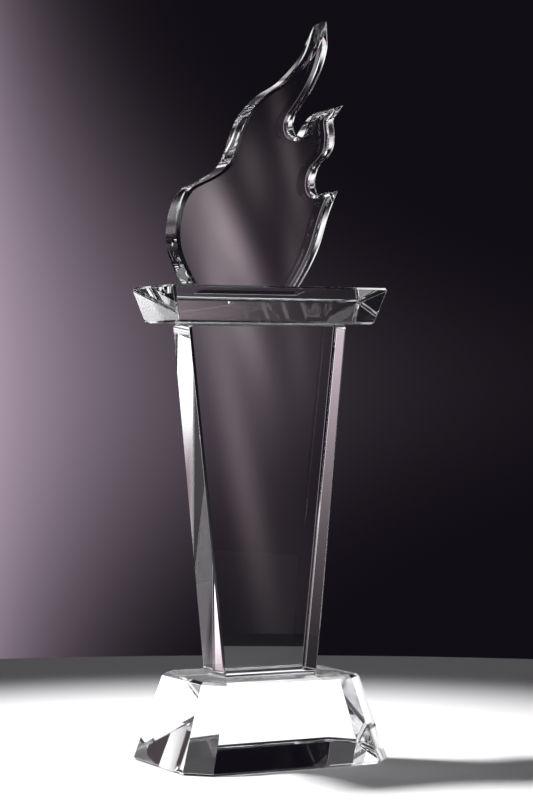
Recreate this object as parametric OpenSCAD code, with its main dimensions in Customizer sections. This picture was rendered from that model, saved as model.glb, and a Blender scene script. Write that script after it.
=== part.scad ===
// Crystal flame award: four solid blocks of clear optical crystal stacked and bonded.
// From the bottom: a tapered base with cut corners, a column that widens upwards,
// a flared cap, and an upright flame plate. A thin clear film bonds each joint.
// Origin: centre of the base's underside. X is the width, Y the depth (front is -Y),
// and Z is up. Sizes are in millimetres.

/* [Base] */
// Width of the base at its underside
base_w = 110; // [90:1:150]
// Depth of the base at its underside
base_d = 78; // [60:1:110]
// Width of the base at its top
base_top_w = 84; // [65:1:100]
// Depth of the base at its top
base_top_d = 61.5; // [40:0.5:75]
// Height of the base
base_h = 42; // [20:1:60]
// Leg of the cut corners at the underside
base_corner = 11; // [3:0.5:20]
// Leg of the cut corners at the top
base_top_corner = 9; // [3:0.5:15]
// Bevel along the base's edges
base_bevel = 1.2; // [0.4:0.1:2]

/* [Column] */
// Width of the column at its foot
column_w = 50; // [30:1:62]
// Depth of the column at its foot
column_d = 24; // [14:0.5:35]
// Width of the column at its head
column_top_w = 85; // [60:1:102]
// Depth of the column at its head
column_top_d = 19.5; // [12:0.5:32]
// Height of the column
column_h = 168.5; // [100:0.5:240]
// Bevel along the column's edges
column_bevel = 1; // [0.4:0.1:2]

/* [Cap] */
// Width of the cap at its underside
cap_w = 105.5; // [90:0.5:130]
// Depth of the cap at its underside
cap_d = 38; // [34:0.5:60]
// Width of the cap at its top
cap_top_w = 115.5; // [95:0.5:140]
// Depth of the cap at its top
cap_top_d = 49; // [36:0.5:70]
// Height of the cap
cap_h = 17.5; // [10:0.5:30]
// Bevel along the cap's edges
cap_bevel = 1; // [0.4:0.1:2]

/* [Flame] */
// Width of the flame over its belly and its side tongue
flame_w = 90; // [75:1:108]
// Height of the flame from its foot to its tip
flame_h = 130; // [108:1:160]
// Thickness of the flame plate
flame_t = 15; // [8:0.5:24]
// Bevel along both outlines of the flame plate
flame_bevel = 1.2; // [0.6:0.1:1.8]

/* [Bonds] */
// Thickness of each bonding film
bond_t = 0.2; // [0.1:0.05:0.5]
// Distance from a film's edge to the edge of the face that it bonds
bond_setback = 0.4; // [0.2:0.1:1.5]

/* [Hidden] */

// Heights of the joints, from the underside up
base_bond_z = base_h;
column_z = base_bond_z + bond_t;
cap_bond_z = column_z + column_h;
cap_z = cap_bond_z + bond_t;
flame_bond_z = cap_z + cap_h;
flame_z = flame_bond_z + bond_t;

// A bevel shortens the leg of a 45 degree corner by this share of its own width
corner_loss = 2 - sqrt(2);

// The flame is drawn on a sheet of this width and height, with x = 0 on the award's
// centre line and the foot at height 0, and is then scaled to flame_w and flame_h.
drawn_w = 90;
drawn_h = 130;

// Outline of the flame, clockwise from the left end of its foot. An entry with four
// points is a Bezier curve, and an entry with two points is a straight side of a tip.
FLAME_SIDES = [
    [[-38, 0], [-42, 5.5], [-47.5, 14], [-47.5, 24]],          // belly, below its widest
    [[-47.5, 24], [-47.5, 34], [-44, 45], [-37, 48]],          // belly, above its widest
    [[-37, 48], [-31, 50.8], [-22.5, 54], [-19, 60]],          // shoulder
    [[-19, 60], [-14.5, 67.5], [-14.5, 78], [-4.5, 88.5]],     // brow
    [[-4.5, 88.5], [3.5, 96.5], [8, 96], [14, 102]],           // hollow above the brow
    [[14, 102], [20, 107.5], [25, 113], [28, 120]],            // back of the main tongue
    [[28, 120], [33, 130]],
    [[33, 130], [33.6, 119]],
    [[33.6, 119], [32.5, 108], [26, 96], [17.5, 85.5]],        // inside of the main tongue
    [[17.5, 85.5], [13, 80], [14, 73.5], [19.5, 73]],          // upper notch
    [[19.5, 73], [24.5, 72.5], [24, 82], [33.5, 86.5]],        // back of the side tongue
    [[33.5, 86.5], [42.5, 89.6]],
    [[42.5, 89.6], [37.3, 83.4]],
    [[37.3, 83.4], [36.2, 81.5], [37.5, 78], [37.5, 74]],      // face of the side tongue
    [[37.5, 74], [37.5, 64], [31, 62], [28.5, 58]],            // below the side tongue
    [[28.5, 58], [25.5, 53], [26, 45.5], [30.5, 45.3]],        // lower notch
    [[30.5, 45.3], [32, 45.2], [32.5, 45.7], [33.5, 46]],
    [[33.5, 46], [39.5, 47.8]],
    [[39.5, 47.8], [37, 42.5]],
    [[37, 42.5], [33, 34], [32, 28.5], [30, 23]],              // flank
    [[30, 23], [27.5, 15.5], [22.5, 7], [17.6, 0]],            // flank, down to the foot
];
// Steps along each curve of the flame
curve_steps = 8;

function bezier(c, t) =
    pow(1 - t, 3) * c[0] + 3 * pow(1 - t, 2) * t * c[1]
    + 3 * (1 - t) * t * t * c[2] + pow(t, 3) * c[3];

// Points of one side of the outline, without its last point
function side_points(c) =
    len(c) == 2 ? [c[0]] : [for (i = [0:curve_steps - 1]) bezier(c, i / curve_steps)];

function to_size(p) = [p.x * flame_w / drawn_w, p.y * flame_h / drawn_h];

last_side = FLAME_SIDES[len(FLAME_SIDES) - 1];
drawn_outline = concat([for (c = FLAME_SIDES) each side_points(c)], [last_side[3]]);
flame_outline = [for (p = drawn_outline) to_size(p)];

function unit(v) = v / norm(v);

// Inward normal of the side from a to b, for an outline drawn clockwise
function inward(a, b) = let (d = unit(b - a)) [d.y, -d.x];

// The outline moved inwards by e. The two ends of the foot slide along the foot,
// which stays flat, and every other point moves along the mitre of its two sides.
function inset(outline, e) =
    let (n = len(outline))
    [for (i = [0:n - 1])
        let (
            before = inward(outline[(i + n - 1) % n], outline[i]),
            after = inward(outline[i], outline[(i + 1) % n])
        )
        outline[i] + (
            i == 0 ? [e / after.x, 0]
            : i == n - 1 ? [e / before.x, 0]
            : e * (before + after) / (1 + before * after)
        )
    ];

flame_face = inset(flame_outline, flame_bevel);

// Twice the area of a triangle, and negative if it runs clockwise
function turn(a, b, c) = (b.x - a.x) * (c.y - a.y) - (b.y - a.y) * (c.x - a.x);

// Whether corner b of a clockwise outline can be cut off as the triangle a, b, c: it
// points outwards, and none of the other points lies in the triangle
function is_ear(outline, a, b, c, others) =
    turn(outline[a], outline[b], outline[c]) < 0
    && len([
        for (i = others)
            if (turn(outline[a], outline[b], outline[i]) <= 0
                && turn(outline[b], outline[c], outline[i]) <= 0
                && turn(outline[c], outline[a], outline[i]) <= 0) i
    ]) == 0;

// Triangles that fill a clockwise outline. left holds the points not yet cut off, and
// turns round by one or two places at each step, so the cuts spread over the outline.
function ears(outline, left, found = []) =
    len(left) == 3 ? concat(found, [left])
    : let (
        a = left[0], b = left[1], c = left[2],
        others = [for (i = [3:len(left) - 1]) left[i]]
    )
    is_ear(outline, a, b, c, others)
    ? ears(outline, concat([c], others, [a]), concat(found, [[a, b, c]]))
    : ears(outline, concat([b, c], others, [a]), found);

// Corner points of a rectangle with cut corners, anticlockwise
function cut_rectangle(w, d, corner) =
    let (x = w / 2, y = d / 2, c = corner)
    [
        [-x + c, -y], [x - c, -y], [x, -y + c], [x, y - c],
        [x - c, y], [-x + c, y], [-x, y - c], [-x, -y + c]
    ];

function at_height(outline, z) = [for (p = outline) [p.x, p.y, z]];
function at_depth(outline, y) = [for (p = outline) [p.x, y, p.y]];

// The point numbers of a ring, in order
function all_points(ring) = [for (i = [0:len(ring) - 1]) i];

// Solid through a row of rings with the same number of points, each ring
// anticlockwise when it is looked at from the last ring's side. The faces in ends, as
// point numbers of a ring, fill the first ring and, turned over, the last.
module loft(rings, ends) {
    n = len(rings[0]);
    last = (len(rings) - 1) * n;
    last_faces = [for (face = ends) [for (i = [len(face) - 1:-1:0]) last + face[i]]];
    sides = [
        for (k = [0:len(rings) - 2], i = [0:n - 1])
            let (a = k * n + i, b = k * n + (i + 1) % n)
            [a, a + n, b + n, b]
    ];
    polyhedron([for (ring = rings) each ring], concat(ends, last_faces, sides));
}

// Tapered block on z = 0. bottom and top are [width, depth, corner leg], and its
// bottom and top edges are bevelled.
module tapered_block(bottom, top, h, bevel) {
    function size_at(z) = bottom + (top - bottom) * z / h;
    function ring(z, e) =
        let (s = size_at(z))
        at_height(cut_rectangle(s[0] - 2 * e, s[1] - 2 * e, s[2] - corner_loss * e), z);
    rings = [ring(0, bevel), ring(bevel, 0), ring(h - bevel, 0), ring(h, bevel)];
    loft(rings, [all_points(rings[0])]);
}

// Film on z = 0 that bonds a rectangular face with bevelled edges
module bond_film(w, d, bevel) {
    rim = 2 * (bevel + bond_setback);
    linear_extrude(bond_t) square([w - rim, d - rim], center = true);
}

module base() {
    color("lightsteelblue")
        tapered_block(
            [base_w, base_d, base_corner],
            [base_top_w, base_top_d, base_top_corner],
            base_h, base_bevel
        );
}

module base_bond() {
    color("lavender")
        translate([0, 0, base_bond_z]) bond_film(column_w, column_d, column_bevel);
}

module column() {
    color("aliceblue")
        translate([0, 0, column_z])
            tapered_block(
                [column_w, column_d, column_bevel],
                [column_top_w, column_top_d, column_bevel],
                column_h, column_bevel
            );
}

module cap_bond() {
    color("lavender")
        translate([0, 0, cap_bond_z]) bond_film(column_top_w, column_top_d, column_bevel);
}

module cap() {
    color("lightsteelblue")
        translate([0, 0, cap_z])
            tapered_block(
                [cap_w, cap_d, cap_bevel],
                [cap_top_w, cap_top_d, cap_bevel],
                cap_h, cap_bevel
            );
}

module flame_bond() {
    foot_left = flame_outline[0].x;
    foot_right = flame_outline[len(flame_outline) - 1].x;
    film = [foot_right - foot_left - 2 * bond_setback, flame_t - 2 * bond_setback];
    color("lavender")
        translate([(foot_left + foot_right) / 2, 0, flame_bond_z])
            linear_extrude(bond_t) polygon(cut_rectangle(film.x, film.y, flame_bevel));
}

module flame() {
    face_y = flame_t / 2;
    wall_y = face_y - flame_bevel;
    rings = [
        at_depth(flame_face, -face_y),
        at_depth(flame_outline, -wall_y),
        at_depth(flame_outline, wall_y),
        at_depth(flame_face, face_y)
    ];
    color("aliceblue")
        translate([0, 0, flame_z]) loft(rings, ears(flame_face, all_points(flame_face)));
}

base();
base_bond();
column();
cap_bond();
cap();
flame_bond();
flame();
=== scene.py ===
"""Crystal flame award: four polished blocks of clear optical crystal, bonded one on another.

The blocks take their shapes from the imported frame. The flame is modelled again here from
its outline, because its curved wall needs finer steps than the frame's solid has.
"""

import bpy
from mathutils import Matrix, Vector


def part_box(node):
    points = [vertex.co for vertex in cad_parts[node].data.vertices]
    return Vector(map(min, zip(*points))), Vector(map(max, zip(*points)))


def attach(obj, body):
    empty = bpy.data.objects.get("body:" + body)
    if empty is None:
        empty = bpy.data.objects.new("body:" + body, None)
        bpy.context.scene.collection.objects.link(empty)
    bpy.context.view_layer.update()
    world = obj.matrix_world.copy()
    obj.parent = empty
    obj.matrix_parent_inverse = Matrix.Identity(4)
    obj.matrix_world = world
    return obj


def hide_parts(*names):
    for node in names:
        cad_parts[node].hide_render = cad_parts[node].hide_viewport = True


bl_info = {
    "name": "Crystal Flame Award",
    "version": (1, 0, 0),
    "blender": (4, 5, 0),
    "location": "View3D > Sidebar > Crystal Award",
    "description": "Builds a crystal flame award and the stage that it stands on",
    "category": "Add Mesh",
}

import math

import bmesh
import bpy
from bpy.props import FloatProperty, FloatVectorProperty, IntProperty, PointerProperty
from mathutils import Vector

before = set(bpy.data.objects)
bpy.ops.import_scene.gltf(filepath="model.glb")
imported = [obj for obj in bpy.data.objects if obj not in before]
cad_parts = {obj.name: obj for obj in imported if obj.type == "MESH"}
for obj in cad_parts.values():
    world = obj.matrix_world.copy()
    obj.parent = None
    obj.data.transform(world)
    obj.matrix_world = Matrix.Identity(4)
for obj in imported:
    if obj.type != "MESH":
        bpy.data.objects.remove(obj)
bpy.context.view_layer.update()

MM = 0.001
BODY = "root"

# Places in each block's list of materials
POLISHED, BEVELLED, BONDED = range(3)

WHITE = (1, 1, 1)

# Outline of the flame, clockwise from the left end of its foot, in millimetres: x from
# the award's centre line, then height above the foot. An entry with four points is a
# Bezier curve, and an entry with two points is a straight side of a tip.
FLAME_SIDES = [
    [(-38, 0), (-42, 5.5), (-47.5, 14), (-47.5, 24)],          # belly, below its widest
    [(-47.5, 24), (-47.5, 34), (-44, 45), (-37, 48)],          # belly, above its widest
    [(-37, 48), (-31, 50.8), (-22.5, 54), (-19, 60)],          # shoulder
    [(-19, 60), (-14.5, 67.5), (-14.5, 78), (-4.5, 88.5)],     # brow
    [(-4.5, 88.5), (3.5, 96.5), (8, 96), (14, 102)],           # hollow above the brow
    [(14, 102), (20, 107.5), (25, 113), (28, 120)],            # back of the main tongue
    [(28, 120), (33, 130)],
    [(33, 130), (33.6, 119)],
    [(33.6, 119), (32.5, 108), (26, 96), (17.5, 85.5)],        # inside of the main tongue
    [(17.5, 85.5), (13, 80), (14, 73.5), (19.5, 73)],          # upper notch
    [(19.5, 73), (24.5, 72.5), (24, 82), (33.5, 86.5)],        # back of the side tongue
    [(33.5, 86.5), (42.5, 89.6)],
    [(42.5, 89.6), (37.3, 83.4)],
    [(37.3, 83.4), (36.2, 81.5), (37.5, 78), (37.5, 74)],      # face of the side tongue
    [(37.5, 74), (37.5, 64), (31, 62), (28.5, 58)],            # below the side tongue
    [(28.5, 58), (25.5, 53), (26, 45.5), (30.5, 45.3)],        # lower notch
    [(30.5, 45.3), (32, 45.2), (32.5, 45.7), (33.5, 46)],
    [(33.5, 46), (39.5, 47.8)],
    [(39.5, 47.8), (37, 42.5)],
    [(37, 42.5), (33, 34), (32, 28.5), (30, 23)],              # flank
    [(30, 23), (27.5, 15.5), (22.5, 7), (17.6, 0)],            # flank, down to the foot
]


# ---------------------------------------------------------------- settings


class AwardSizes(bpy.types.PropertyGroup):
    """Sizes that the frame doesn't give"""

    arris: FloatProperty(
        name="Arris",
        description="Width of the rounding on each sharp edge of the crystal",
        default=0.12 * MM, min=0.02 * MM, max=0.5 * MM, subtype="DISTANCE", unit="LENGTH",
    )
    flame_bevel: FloatProperty(
        name="Flame bevel",
        description="Width of the polished bevel round the flame's front and back",
        default=1.2 * MM, min=0.6 * MM, max=2 * MM, subtype="DISTANCE", unit="LENGTH",
    )
    flame_run_off: FloatProperty(
        name="Flame run-off",
        description="How far the flame is drawn below its foot before the foot is cut flat",
        default=6 * MM, min=2 * MM, max=12 * MM, subtype="DISTANCE", unit="LENGTH",
    )
    flame_steps: IntProperty(
        name="Flame steps",
        description="Steps along each curve of the flame's outline",
        default=20, min=8, max=40,
    )


class AwardFinish(bpy.types.PropertyGroup):
    """Colours and finish of the crystal and of the bonding films"""

    crystal_tint: FloatVectorProperty(
        name="Crystal tint",
        description="Colour of light that has passed through a polished face",
        subtype="COLOR", size=3, default=(0.985, 0.99, 1.0), min=0, max=1,
    )
    smudge: FloatProperty(
        name="Smudge roughness",
        description="Roughness where a face was touched and wiped",
        default=0.02, min=0, max=0.2,
    )
    bevel_roughness: FloatProperty(
        name="Bevel roughness",
        description="Roughness of the polished bevels",
        default=0.05, min=0, max=0.5,
    )
    adhesive_tint: FloatVectorProperty(
        name="Adhesive tint",
        description="Colour of the clear film in each joint",
        subtype="COLOR", size=3, default=(0.90, 0.92, 0.96), min=0, max=1,
    )
    refraction: FloatProperty(
        name="Index of refraction",
        description="Index of refraction of optical crystal",
        default=1.52, min=1.3, max=1.9,
    )


class AwardStage(bpy.types.PropertyGroup):
    """Floor, surroundings and camera"""

    floor_colour: FloatVectorProperty(
        name="Floor",
        description="Colour of the plain pale floor",
        subtype="COLOR", size=3, default=(0.82, 0.82, 0.84), min=0, max=1,
    )
    floor_radius: FloatProperty(
        name="Floor radius",
        description="Radius of the round floor",
        default=0.7, min=0.2, max=3, subtype="DISTANCE", unit="LENGTH",
    )
    dark_colour: FloatVectorProperty(
        name="Surroundings",
        description="Colour of the dark surroundings",
        subtype="COLOR", size=3, default=(0.0055, 0.0042, 0.007), min=0, max=1,
    )
    haze_colour: FloatVectorProperty(
        name="Haze",
        description="Colour of the soft haze at the back",
        subtype="COLOR", size=3, default=(0.60, 0.47, 0.585), min=0, max=1,
    )
    strip_colour: FloatVectorProperty(
        name="Strips",
        description="Colour of the soft strips of light",
        subtype="COLOR", size=3, default=(1.0, 0.82, 0.9), min=0, max=1,
    )
    lens: FloatProperty(
        name="Lens",
        description="Focal length of the camera, in millimetres on a 36 mm sensor",
        default=111.2, min=20, max=300,
    )
    camera_place: FloatVectorProperty(
        name="Camera",
        description="Place of the camera",
        subtype="TRANSLATION", unit="LENGTH", size=3, default=(-0.5394, -1.0675, 0.1819),
    )
    camera_pan: FloatProperty(
        name="Pan",
        description="How far the camera is turned to the right of straight ahead",
        default=math.radians(26.95), subtype="ANGLE", unit="ROTATION",
    )
    camera_tilt: FloatProperty(
        name="Tilt",
        description="How far the camera looks down",
        default=math.radians(0.373), subtype="ANGLE", unit="ROTATION",
    )


# ---------------------------------------------------------------- shader maths


class Value:
    """An output socket, on which Python's operators add Math nodes."""

    def __init__(self, shader, socket):
        self.shader = shader
        self.socket = socket

    def __radd__(self, other):
        return self.shader.maths("ADD", other, self)

    def __sub__(self, other):
        return self.shader.maths("SUBTRACT", self, other)

    def __rsub__(self, other):
        return self.shader.maths("SUBTRACT", other, self)

    def __mul__(self, other):
        return self.shader.maths("MULTIPLY", self, other)

    def __truediv__(self, other):
        return self.shader.maths("DIVIDE", self, other)

    def __rpow__(self, other):
        return self.shader.maths("POWER", other, self)


class Shader:
    """The node tree of a material or a world, emptied and ready for new nodes."""

    def __init__(self, owner):
        owner.use_nodes = True
        self.owner = owner
        self.tree = owner.node_tree
        self.tree.nodes.clear()

    def node(self, kind, settings=None, sockets=None, output=0):
        """Adds a node, sets it up, then fills or links its sockets; gives one output."""
        made = self.tree.nodes.new(kind)
        for name, setting in (settings or {}).items():
            if name == "stops":
                self.set_ramp(made.color_ramp, setting)
            else:
                setattr(made, name, setting)
        for name, value in (sockets or {}).items():
            if isinstance(value, Value):
                self.tree.links.new(value.socket, made.inputs[name])
            else:
                made.inputs[name].default_value = value
        return Value(self, made.outputs[output]) if made.outputs else made

    def maths(self, operation, *values):
        """Adds a Math node that does this operation on the values."""
        sockets = dict(enumerate(values))
        return self.node("ShaderNodeMath", {"operation": operation}, sockets)

    @staticmethod
    def set_ramp(ramp, stops):
        """stops is a list of (place, grey level)."""
        while len(ramp.elements) < len(stops):
            ramp.elements.new(1)
        for element, (place, grey) in zip(ramp.elements, stops):
            element.position = place
            element.color = (grey, grey, grey, 1)

    def noise(self, vector, scale, detail=2):
        sockets = {"Vector": vector, "Scale": scale, "Detail": detail}
        return self.node("ShaderNodeTexNoise", {"noise_dimensions": "3D"}, sockets)

    def ramp(self, value, *stops):
        return self.node("ShaderNodeValToRGB", {"stops": stops}, {"Fac": value})

    def mix_colour(self, factor, first, second, blend="MIX"):
        """A mix of two colours, which go into a Mix node's inputs 6 and 7 and leave by 2."""
        settings = {"data_type": "RGBA", "blend_type": blend}
        return self.node("ShaderNodeMix", settings, {0: factor, 6: first, 7: second}, output=2)

    def place(self):
        return self.node("ShaderNodeTexCoord", output="Object")


def new_shader(name):
    return Shader(bpy.data.materials.new(name))


def opaque(colour):
    return (*colour, 1)


def crystal_finish(name, roughness, smudge):
    """Clear optical crystal: water-white, with a faint wiped smudge."""
    look = bpy.context.scene.award_finish
    shader = new_shader(name)
    place = shader.place()
    wiped = shader.ramp(shader.noise(place, 38, 4), (0.45, 0), (0.75, 1))
    cloudy = shader.noise(place, 9, 1)
    tint = shader.mix_colour(cloudy, opaque(look.crystal_tint), opaque(WHITE))
    surface = shader.node("ShaderNodeBsdfPrincipled", None, {
        "Base Color": tint,
        "Roughness": roughness + wiped * smudge,
        "IOR": look.refraction,
        "Transmission Weight": 1.0,
    })
    shader.node("ShaderNodeOutputMaterial", None, {"Surface": surface})
    return shader.owner


def bonded_finish():
    """A face that is bonded: crystal and film have one index, so light goes straight on."""
    look = bpy.context.scene.award_finish
    shader = new_shader("bonded_face")
    patches = shader.ramp(shader.noise(shader.place(), 60, 3), (0.4, 0), (0.8, 1))
    surface = shader.node("ShaderNodeBsdfPrincipled", None, {
        "Base Color": opaque(look.adhesive_tint),
        "Roughness": 0.3,
        "Alpha": 0.004 + patches * 0.008,
    })
    shader.node("ShaderNodeOutputMaterial", None, {"Surface": surface})
    return shader.owner


def adhesive_finish():
    """The film itself: clear through its thickness, and a little milky at its rim."""
    look = bpy.context.scene.award_finish
    shader = new_shader("clear_adhesive")
    place = shader.place()
    normal = shader.node("ShaderNodeNewGeometry", output="Normal")
    upright = shader.node("ShaderNodeSeparateXYZ", None, {"Vector": normal}, output="Z")
    rim = 1 - upright * upright
    cured = shader.noise(place, 45, 3)
    tint = shader.mix_colour(cured, opaque(look.adhesive_tint), opaque(WHITE))
    surface = shader.node("ShaderNodeBsdfPrincipled", None, {
        "Base Color": tint,
        "Roughness": 0.25 + cured * 0.1,
        "Alpha": 0.004 + rim * 0.35,
    })
    shader.node("ShaderNodeOutputMaterial", None, {"Surface": surface})
    return shader.owner


def floor_finish():
    """Plain pale matt floor, very slightly mottled."""
    stage = bpy.context.scene.award_stage
    shader = new_shader("pale_floor")
    mottle = shader.noise(shader.place(), 14, 3)
    paler = tuple(channel * 1.05 for channel in stage.floor_colour)
    tint = shader.mix_colour(mottle, opaque(stage.floor_colour), opaque(paler))
    surface = shader.node("ShaderNodeBsdfPrincipled", None, {
        "Base Color": tint,
        "Roughness": 0.9,
    })
    shader.node("ShaderNodeOutputMaterial", None, {"Surface": surface})
    return shader.owner


def block_materials():
    """The three finishes of every block, in the order of POLISHED, BEVELLED and BONDED."""
    known = bpy.data.materials
    if "crystal_polished" in known:
        return [known[n] for n in ("crystal_polished", "crystal_bevel", "bonded_face")]
    look = bpy.context.scene.award_finish
    return [
        crystal_finish("crystal_polished", 0.0, look.smudge),
        crystal_finish("crystal_bevel", look.bevel_roughness, look.smudge),
        bonded_finish(),
    ]


# ---------------------------------------------------------------- modelling


def start_clear():
    """Object mode, with nothing selected."""
    if bpy.context.mode != "OBJECT":
        bpy.ops.object.mode_set(mode="OBJECT")
    bpy.ops.object.select_all(action="DESELECT")


def edit(piece):
    """Edit mode on this piece alone, with none of its faces selected."""
    start_clear()
    piece.select_set(True)
    bpy.context.view_layer.objects.active = piece
    bpy.ops.object.mode_set(mode="EDIT")
    bpy.ops.mesh.select_mode(type="FACE")
    bpy.ops.mesh.select_all(action="DESELECT")


def select_faces(piece, wanted):
    """In edit mode, selects the faces whose centre and normal are wanted; gives their number."""
    bpy.ops.mesh.select_all(action="DESELECT")
    mesh = bmesh.from_edit_mesh(piece.data)
    found = [f for f in mesh.faces if wanted(f.calc_center_median(), f.normal)]
    for face in found:
        face.select_set(True)
    bmesh.update_edit_mesh(piece.data)
    return len(found)


def merged_copy(node, name):
    """A new piece with the frame node's shape, as whole flat faces in place of triangles."""
    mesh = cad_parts[node].data.copy()
    mesh.name = name
    mesh.materials.clear()
    piece = bpy.data.objects.new(name, mesh)
    bpy.context.collection.objects.link(piece)
    edit(piece)
    bpy.ops.mesh.select_all(action="SELECT")
    bpy.ops.mesh.remove_doubles(threshold=0.001 * MM)
    bpy.ops.mesh.dissolve_limited(angle_limit=math.radians(0.1))
    bpy.ops.object.mode_set(mode="OBJECT")
    bpy.ops.mesh.customdata_custom_splitnormals_clear()
    return piece


def round_edges(piece, width, angle, segments):
    """Takes every edge sharper than angle off by a small rounding, and applies it."""
    start_clear()
    piece.select_set(True)
    bpy.context.view_layer.objects.active = piece
    bpy.ops.object.modifier_add(type="BEVEL")
    rounding = piece.modifiers[-1]
    rounding.width = width
    rounding.segments = segments
    rounding.limit_method = "ANGLE"
    rounding.angle_limit = angle
    rounding.use_clamp_overlap = False
    bpy.ops.object.modifier_apply(modifier=rounding.name)


def mark_bevels(piece, bevelled):
    """Gives the bevelled finish to the faces whose normal is bevelled(normal)."""
    edit(piece)
    piece.active_material_index = BEVELLED
    if not select_faces(piece, lambda centre, normal: bevelled(normal)):
        raise RuntimeError(f"{piece.name} has no bevels")
    bpy.ops.object.material_slot_assign()
    bpy.ops.object.mode_set(mode="OBJECT")


def mark_joint(piece, film, height):
    """Cuts the film's outline into the flat face at height, and gives it the bonded finish."""
    low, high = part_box(film)
    near = 0.01 * MM

    def in_plane(centre, normal):
        return abs(centre.z - height) < near and abs(normal.z) > 0.99

    def under_film(centre, normal):
        inside = low.x < centre.x < high.x and low.y < centre.y < high.y
        return inside and in_plane(centre, normal)

    edit(piece)
    for axis, normal in enumerate(((1, 0, 0), (0, 1, 0))):
        for corner in (low, high):
            place = [0, 0, height]
            place[axis] = corner[axis]
            select_faces(piece, in_plane)
            bpy.ops.mesh.bisect(plane_co=place, plane_no=normal)
    piece.active_material_index = BONDED
    if not select_faces(piece, under_film):
        raise RuntimeError(f"{piece.name} has no face at {film}")
    bpy.ops.object.material_slot_assign()
    bpy.ops.object.mode_set(mode="OBJECT")


def place_in_frame(piece, node):
    """The piece rides on the award's body in place of the frame's own node."""
    start_clear()
    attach(piece, BODY)
    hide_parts(node)


def build_block(node, name, joints, bevelled):
    """A tapered block: the frame's shape with rounded arrises and marked joints."""
    sizes = bpy.context.scene.award_sizes
    piece = merged_copy(node, name)
    for material in block_materials():
        piece.data.materials.append(material)
    round_edges(piece, sizes.arris, math.radians(15), 2)
    mark_bevels(piece, bevelled)
    for film, height in joints:
        mark_joint(piece, film, height)
    place_in_frame(piece, node)
    return piece


def level_bevel(normal):
    """True for a bevel along a top or bottom edge."""
    return 0.3 < abs(normal.z) < 0.95


def any_bevel(normal):
    """True for a level bevel and for one along an upright corner."""
    return level_bevel(normal) or min(abs(normal.x), abs(normal.y)) > 0.3


# ---------------------------------------------------------------- flame


def below_foot(foot, next_point, depth):
    """The point that lies depth below the foot on the line from next_point through foot."""
    rise = next_point[1] - foot[1]
    run = next_point[0] - foot[0]
    return (foot[0] - run * depth / rise, foot[1] - depth)


def flame_curve(foot_height):
    """A closed Bezier curve along the flame's outline, run on a little below its foot."""
    sizes = bpy.context.scene.award_sizes
    run_off = sizes.flame_run_off / MM
    first, last = FLAME_SIDES[0], FLAME_SIDES[-1]
    start = below_foot(first[0], first[1], run_off)
    end = below_foot(last[3], last[2], run_off)
    sides = [[start, first[0]], *FLAME_SIDES, [last[3], end], [end, start]]

    start_clear()
    bpy.ops.curve.primitive_bezier_curve_add(location=(0, 0, 0))
    outline = bpy.context.object
    outline.data.resolution_u = sizes.flame_steps
    spline = outline.data.splines[0]
    spline.use_cyclic_u = True
    spline.bezier_points.add(len(sides) - len(spline.bezier_points))
    for point in spline.bezier_points:
        point.handle_left_type = point.handle_right_type = "FREE"

    def in_frame(point):
        return Vector((point[0] * MM, 0, foot_height + point[1] * MM))

    for number, side in enumerate(sides):
        here = spline.bezier_points[number]
        there = spline.bezier_points[(number + 1) % len(sides)]
        ends = in_frame(side[0]), in_frame(side[-1])
        here.co = ends[0]
        if len(side) == 4:
            here.handle_right = in_frame(side[1])
            there.handle_left = in_frame(side[2])
        else:   # thirds of a straight side, so that its steps come out even
            here.handle_right = ends[0].lerp(ends[1], 1 / 3)
            there.handle_left = ends[0].lerp(ends[1], 2 / 3)
    return outline


def build_flame():
    """The flame plate: outline, thickness, bevels back and front, and a flat cut foot."""
    sizes = bpy.context.scene.award_sizes
    low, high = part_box("flame")
    bevel = sizes.flame_bevel
    wall = high.y - bevel

    piece = flame_curve(low.z)
    bpy.ops.object.convert(target="MESH")
    piece = bpy.context.object
    piece.name = piece.data.name = "flame_plate"
    for material in block_materials():
        piece.data.materials.append(material)

    bpy.ops.object.mode_set(mode="EDIT")
    bpy.ops.mesh.select_mode(type="VERT")
    bpy.ops.mesh.select_all(action="SELECT")
    bpy.ops.mesh.remove_doubles(threshold=0.001 * MM)
    bpy.ops.mesh.dissolve_limited(angle_limit=math.radians(0.05))
    bpy.ops.mesh.select_all(action="SELECT")
    bpy.ops.mesh.edge_face_add()
    bpy.ops.transform.translate(value=(0, -wall, 0))
    bpy.ops.mesh.extrude_region_move(TRANSFORM_OT_translate={"value": (0, 2 * wall, 0)})
    bpy.ops.mesh.select_all(action="SELECT")
    bpy.ops.mesh.normals_make_consistent(inside=False)
    bpy.ops.mesh.select_mode(type="FACE")
    select_faces(piece, lambda centre, normal: abs(normal.y) > 0.99)
    bpy.ops.mesh.inset(thickness=bevel, depth=bevel, use_even_offset=True)
    bpy.ops.mesh.select_all(action="SELECT")
    bpy.ops.mesh.bisect(
        plane_co=(0, 0, low.z), plane_no=(0, 0, 1), use_fill=True, clear_inner=True
    )
    bpy.ops.object.mode_set(mode="OBJECT")

    round_edges(piece, sizes.arris, math.radians(30), 1)
    mark_bevels(piece, lambda normal: 0.6 < abs(normal.y) < 0.8)
    mark_joint(piece, "flame_bond", low.z)
    start_clear()
    piece.select_set(True)
    bpy.ops.object.shade_smooth_by_angle(angle=math.radians(18))
    place_in_frame(piece, "flame")
    return piece


# ---------------------------------------------------------------- stage

# How a patch of light ends: fading all the way, or flat with a sharper edge
SOFT, FLAT_TOPPED = range(2)

# Headings are in degrees from straight back, positive to the right, and heights are in
# degrees above the horizon. The haze: where it starts, its right edge, how fast it fades
# out at both sides, how it flattens as it fades out to the right, and its reach in height
HAZE_START = 15
HAZE_EDGE = 19.5
HAZE_FADE_LEFT = 6
HAZE_FADE_RIGHT = 2.8
HAZE_FLATTENING = 2.5
HAZE_HEIGHT = 12.5

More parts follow.
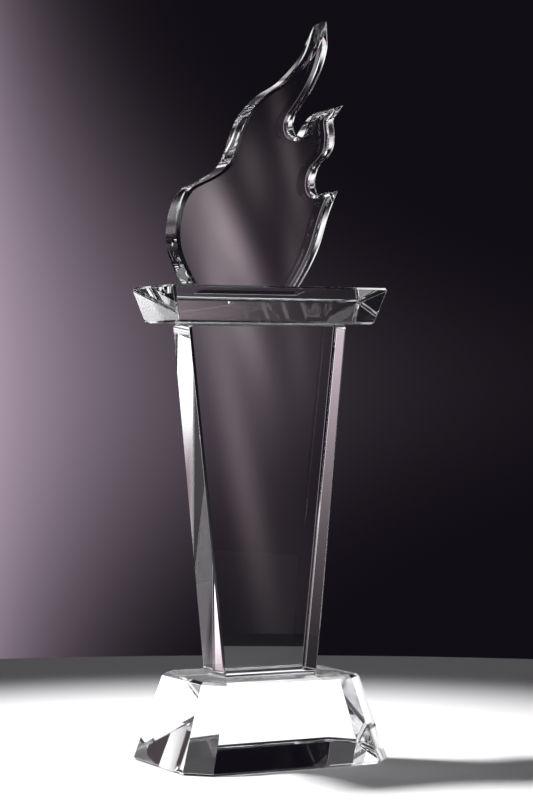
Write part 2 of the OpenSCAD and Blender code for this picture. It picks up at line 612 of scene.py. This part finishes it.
# Windows with soft edges: centre (heading, height), reach (aside, above), strength
WINDOWS = (
    ((140, 33), (10, 9), 2.2),        # at the front right
    ((157, 6.7), (1.7, 2.5), 2.2),
    ((156.5, -14), (5, 4.5), 1.4),
    ((122, -12), (5, 8), 1.0),
    ((66, 8), (6, 9), 1.5),           # at the back right
    ((66, -12), (9, 6), 1.3),
    ((-15, 16), (13, 5), 1.3),        # at the back left
    ((-28, -6.3), (4, 3), 0.6),
    ((-42, 12), (7, 8), 1.3),
    ((-42, 3), (9, 5), 0.9),
    ((-88, 5), (8, 7), 1.0),          # at the left
    ((-108, 22), (14, 12), 1.6),
)
WINDOW_LEAN = 0.18   # change of heading with height

# Soft strips of light, most of which show as streaks in the upright faces: centre
# (heading, height), reach (aside, above), change of heading with height, strength
STRIPS = (
    ((153.9, 3.4), (0.36, 1.5), 0.39, 2.5),
    ((154.5, 3.4), (0.6, 2.2), 0.39, 1.0),
    ((153.8, 0.3), (0.36, 3.3), 0.17, 1.8),
    ((152.5, 5.2), (0.22, 1.8), 0.22, 0.5),
    ((152.35, 2.5), (0.25, 1.3), 0.1, 0.5),
    ((153.4, 5), (0.3, 0.8), 0.2, 0.4),
    ((153, 4.8), (1.4, 1.4), 0.1, 0.2),
    ((152.7, -3), (1.3, 2.2), 0.1, 0.3),
    ((-28, 8.5), (5, 5), 0, 0.85),
    ((-130, 15), (45, 25), 0, 0.04),
    ((22, 25), (5, 6), 0.1, 0.7),
)


def build_floor():
    """A plain pale round floor, whose far edge lies behind the award as the camera sees it."""
    stage = bpy.context.scene.award_stage
    thickness = 20 * MM
    air_gap = 0.1 * MM   # keeps the floor and the underside of the base apart
    far_edge = 460 * MM
    ahead = Vector((math.sin(stage.camera_pan), math.cos(stage.camera_pan), 0))
    centre = ahead * (far_edge - stage.floor_radius)
    start_clear()
    bpy.ops.mesh.primitive_cylinder_add(
        vertices=256, radius=stage.floor_radius, depth=thickness,
        location=(centre.x, centre.y, -thickness / 2 - air_gap),
    )
    floor = bpy.context.object
    floor.name = floor.data.name = "floor"
    bpy.ops.object.transform_apply(location=True, rotation=True, scale=True)
    floor.data.materials.append(floor_finish())


def fade(angle, reach, edge=SOFT):
    """1 at no angle, and 0.37 where the angle, in radians, is reach degrees."""
    share = angle / math.radians(reach)
    fall = share * share
    return math.e ** (0 - (fall * fall if edge == FLAT_TOPPED else fall))


def build_surroundings():
    """Dark surroundings, with a haze of light at the back and windows all round."""
    stage = bpy.context.scene.award_stage
    world = bpy.data.worlds.new("studio")
    bpy.context.scene.world = world
    shader = Shader(world)
    direction = shader.node("ShaderNodeTexCoord", output="Generated")
    x, y, z = (
        shader.node("ShaderNodeSeparateXYZ", None, {"Vector": direction}, output=axis)
        for axis in "XYZ"
    )
    heading = shader.maths("ARCTAN2", x, y)
    height = shader.maths("ARCSINE", z)

    past_right = shader.maths("MAXIMUM", heading - math.radians(HAZE_EDGE), 0)
    past_left = shader.maths("MAXIMUM", math.radians(HAZE_START) - heading, 0)
    flatter = 1 + past_right / math.radians(HAZE_FLATTENING)
    haze = (
        math.e ** (0 - past_right / math.radians(HAZE_FADE_RIGHT))
        * fade(past_left, HAZE_FADE_LEFT)
        * fade(height * flatter, HAZE_HEIGHT)
    )
    colour = shader.mix_colour(haze, opaque(stage.dark_colour), opaque(stage.haze_colour))
    patches = [(*place, WINDOW_LEAN, strength, FLAT_TOPPED) for *place, strength in WINDOWS]
    patches += [(*strip, SOFT) for strip in STRIPS]
    for (aside, above), (reach_aside, reach_above), lean, strength, edge in patches:
        up = height - math.radians(above)
        across = heading - math.radians(aside) - up * lean
        shape = fade(across, reach_aside, edge) * fade(up, reach_above, edge)
        tint = WHITE if edge == FLAT_TOPPED else stage.strip_colour
        light = opaque(strength * channel for channel in tint)
        colour = shader.mix_colour(shape, colour, light, "ADD")
    surface = shader.node("ShaderNodeBackground", None, {"Color": colour, "Strength": 1.0})
    shader.node("ShaderNodeOutputWorld", None, {"Surface": surface})


def build_light():
    """One soft lamp overhead at the back, which lights a round pool of floor."""
    place = Vector((-0.35, 0.45, 1.5))
    aim = Vector((0, 0.03, 0))
    power = 150
    lamp_radius = 80 * MM
    cone = math.radians(20)
    soft_share = 0.35
    start_clear()
    bpy.ops.object.light_add(type="SPOT", location=place)
    lamp = bpy.context.object
    lamp.name = "overhead"
    lamp.rotation_euler = (aim - place).to_track_quat("-Z", "Y").to_euler()
    lamp.data.energy = power
    lamp.data.shadow_soft_size = lamp_radius
    lamp.data.spot_size = cone
    lamp.data.spot_blend = soft_share


def build_camera():
    """The camera, level but for its slight tilt, and turned to the right."""
    stage = bpy.context.scene.award_stage
    start_clear()
    bpy.ops.object.camera_add(
        location=stage.camera_place,
        rotation=(math.pi / 2 - stage.camera_tilt, 0, -stage.camera_pan),
    )
    camera = bpy.context.object
    camera.name = "camera"
    camera.data.lens = stage.lens
    camera.data.clip_start = 0.01
    camera.data.clip_end = 20
    bpy.context.scene.camera = camera


def set_light_paths():
    """Enough bounces for light to leave a stack of blocks, and a plain view of the result."""
    scene = bpy.context.scene
    scene.cycles.max_bounces = 24
    scene.cycles.transmission_bounces = 24
    scene.cycles.glossy_bounces = 12
    scene.cycles.transparent_max_bounces = 32
    scene.view_settings.view_transform = "Standard"


# ---------------------------------------------------------------- operators


class AWARD_OT_base(bpy.types.Operator):
    """Build the tapered base with its cut corners"""

    bl_idname = "award.base"
    bl_label = "Base"

    def execute(self, context):
        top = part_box("base")[1].z
        build_block("base", "base_block", [("base_bond", top)], level_bevel)
        return {"FINISHED"}


class AWARD_OT_column(bpy.types.Operator):
    """Build the column that widens upwards"""

    bl_idname = "award.column"
    bl_label = "Column"

    def execute(self, context):
        low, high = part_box("column")
        joints = [("base_bond", low.z), ("cap_bond", high.z)]
        build_block("column", "column_block", joints, any_bevel)
        return {"FINISHED"}


class AWARD_OT_cap(bpy.types.Operator):
    """Build the flared cap"""

    bl_idname = "award.cap"
    bl_label = "Cap"

    def execute(self, context):
        low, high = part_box("cap")
        joints = [("cap_bond", low.z), ("flame_bond", high.z)]
        build_block("cap", "cap_block", joints, any_bevel)
        return {"FINISHED"}


class AWARD_OT_flame(bpy.types.Operator):
    """Build the flame plate"""

    bl_idname = "award.flame"
    bl_label = "Flame"

    def execute(self, context):
        build_flame()
        return {"FINISHED"}


class AWARD_OT_films(bpy.types.Operator):
    """Finish the clear bonding films"""

    bl_idname = "award.films"
    bl_label = "Bonding films"

    def execute(self, context):
        clear = adhesive_finish()
        for node in ("base_bond", "cap_bond", "flame_bond"):
            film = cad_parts[node]
            film.data.materials.clear()
            film.data.materials.append(clear)
        return {"FINISHED"}


class AWARD_OT_stage(bpy.types.Operator):
    """Build the floor, surroundings, light and camera"""

    bl_idname = "award.stage"
    bl_label = "Stage"

    def execute(self, context):
        build_floor()
        build_surroundings()
        build_light()
        build_camera()
        set_light_paths()
        return {"FINISHED"}


class AWARD_PT_panel(bpy.types.Panel):
    """The award's settings and the operators that build it"""

    bl_label = "Crystal Award"
    bl_space_type = "VIEW_3D"
    bl_region_type = "UI"
    bl_category = "Crystal Award"

    def draw(self, context):
        for group in ("award_sizes", "award_finish", "award_stage"):
            settings = getattr(context.scene, group)
            box = self.layout.box()
            for name in settings.__annotations__:
                box.prop(settings, name)
        for operator in OPERATORS:
            self.layout.operator(operator.bl_idname)


GROUPS = {
    "award_sizes": AwardSizes,
    "award_finish": AwardFinish,
    "award_stage": AwardStage,
}
OPERATORS = (
    AWARD_OT_base,
    AWARD_OT_column,
    AWARD_OT_cap,
    AWARD_OT_flame,
    AWARD_OT_films,
    AWARD_OT_stage,
)
CLASSES = (*GROUPS.values(), *OPERATORS, AWARD_PT_panel)


def register():
    for made in CLASSES:
        bpy.utils.register_class(made)
    for name, group in GROUPS.items():
        setattr(bpy.types.Scene, name, PointerProperty(type=group))


def unregister():
    for name in GROUPS:
        delattr(bpy.types.Scene, name)
    for made in reversed(CLASSES):
        bpy.utils.unregister_class(made)


def main():
    register()
    bpy.ops.award.base()
    bpy.ops.award.column()
    bpy.ops.award.cap()
    bpy.ops.award.flame()
    bpy.ops.award.films()
    bpy.ops.award.stage()


if __name__ == "__main__":
    main()
